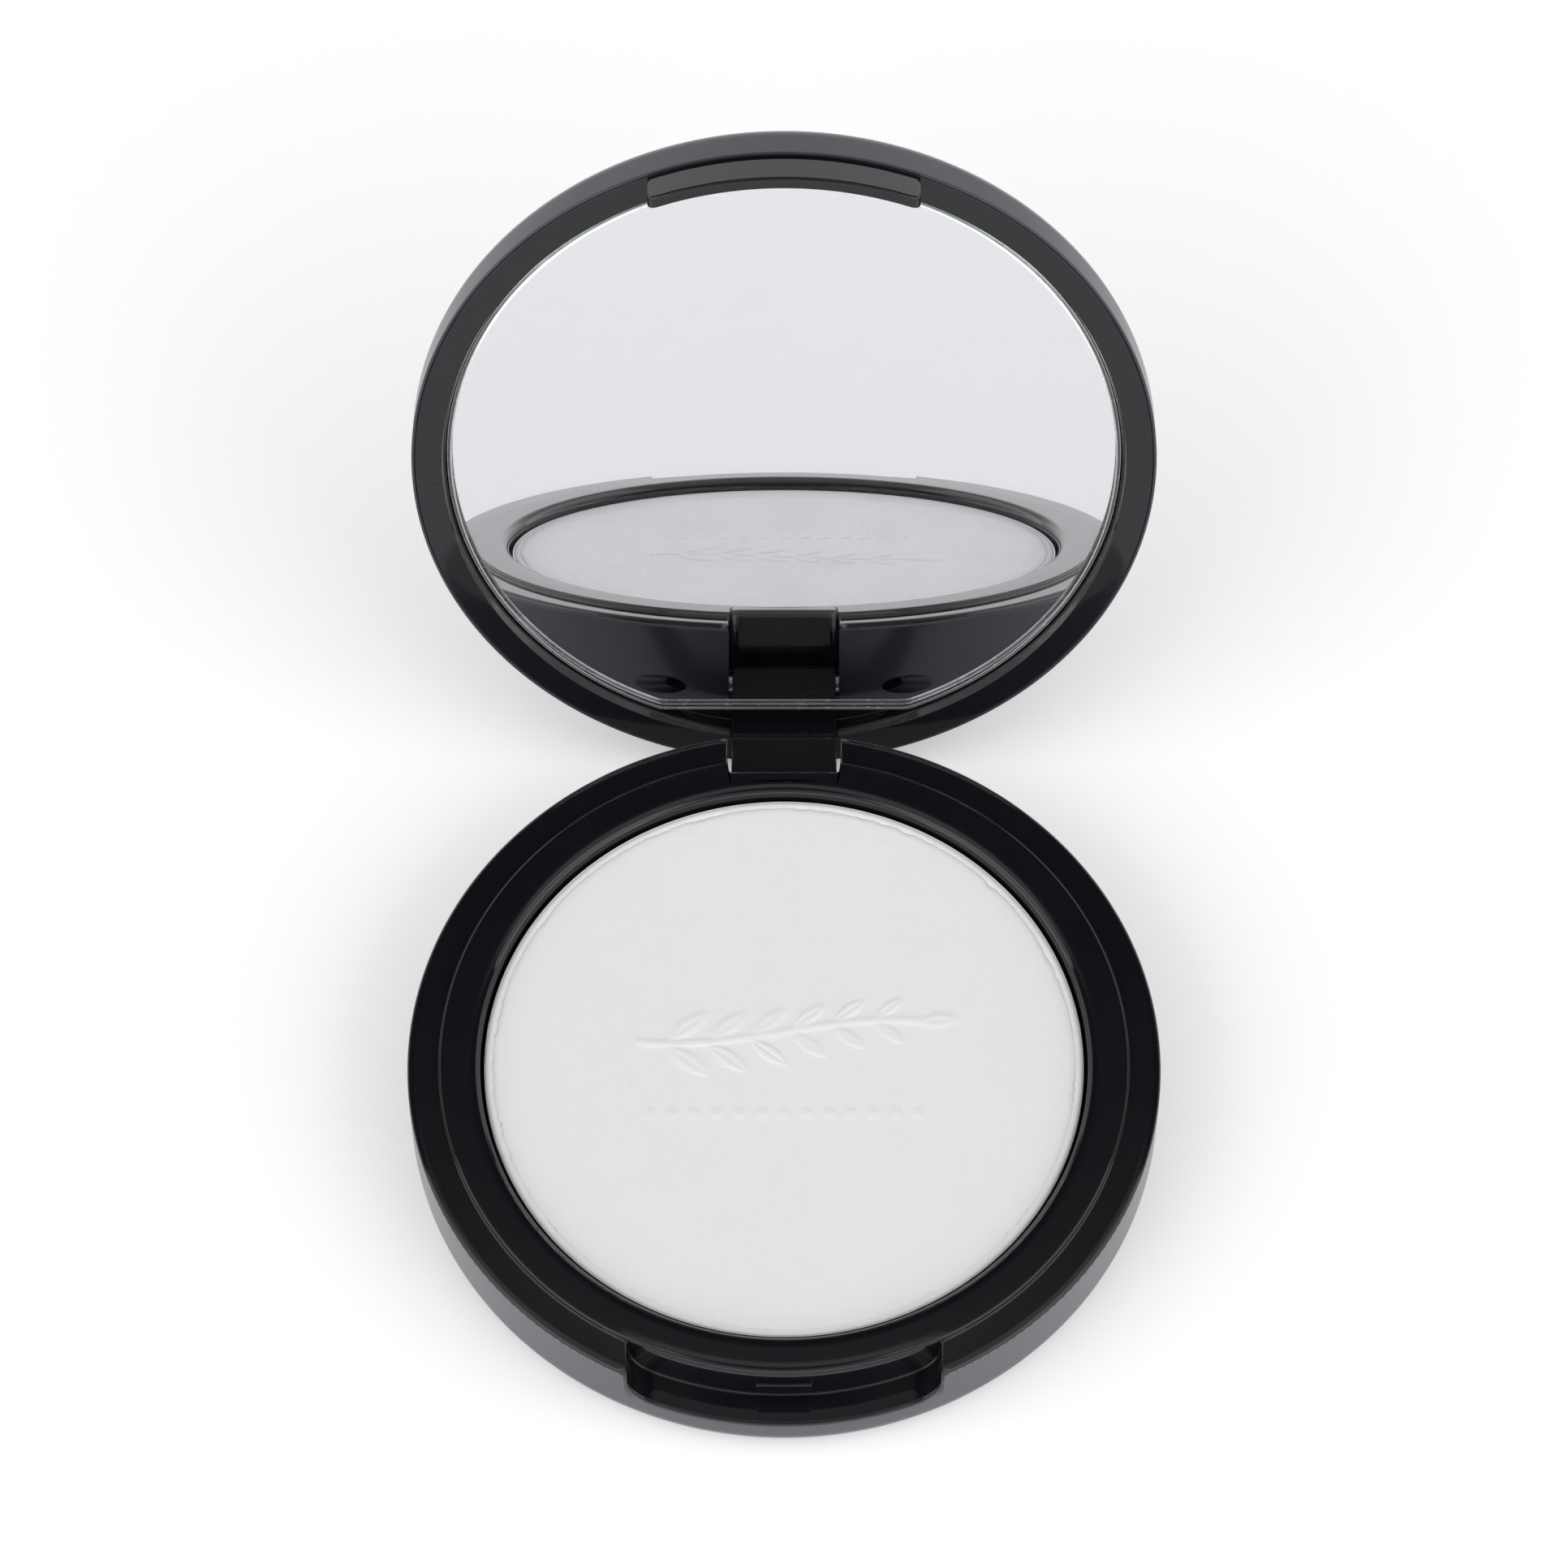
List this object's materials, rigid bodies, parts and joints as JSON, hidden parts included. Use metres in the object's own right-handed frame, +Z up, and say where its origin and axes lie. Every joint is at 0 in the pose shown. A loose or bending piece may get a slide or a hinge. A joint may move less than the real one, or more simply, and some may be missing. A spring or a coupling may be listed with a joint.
{
  "type": "powder compact",
  "caption": "Round hinged case, standing open: a shallow base holds a pan of pressed powder, and a mirrored lid with a thumb tab swings shut over it.",
  "frame": {"origin": "centre of the base's underside", "axes": "+Z up out of the base, +Y towards the hinge, X along the hinge line"},
  "size_m": [0.074, 0.1105, 0.0707],
  "materials": {
    "soft_touch_shell": "matte, very dark grey",
    "gloss_frame": "polished black",
    "pan_metal": "satin",
    "pressed_powder": "dull white, pressed through fine cloth",
    "clear_glue": "dried glue",
    "pin_steel": "drawn wire",
    "label_paper": "plain blank label",
    "mirror_glass": "back-silvered glass",
    "tape_foam": "double-sided tape"
  },
  "bodies": {
    "base": {"base_shell": "soft_touch_shell", "base_frame": "gloss_frame", "powder_pan": "pan_metal", "powder_cake": "pressed_powder", "pan_glue_1": "clear_glue", "pan_glue_2": "clear_glue", "pan_glue_3": "clear_glue", "pan_glue_4": "clear_glue", "hinge_pin_left": "pin_steel", "hinge_pin_right": "pin_steel", "base_label": "label_paper"},
    "lid": {"lid_shell": "soft_touch_shell", "lid_frame": "gloss_frame", "mirror": "mirror_glass", "mirror_tape_1": "tape_foam", "mirror_tape_2": "tape_foam", "mirror_tape_3": "tape_foam"}
  },
  "joints": [
    {"name": "lid_hinge", "type": "hinge", "parent": "base", "child": "lid", "pos_m": [0, 0.0346, 0.0032], "axis": [1, 0, 0], "range_deg": [0, 112.6]}
  ]
}
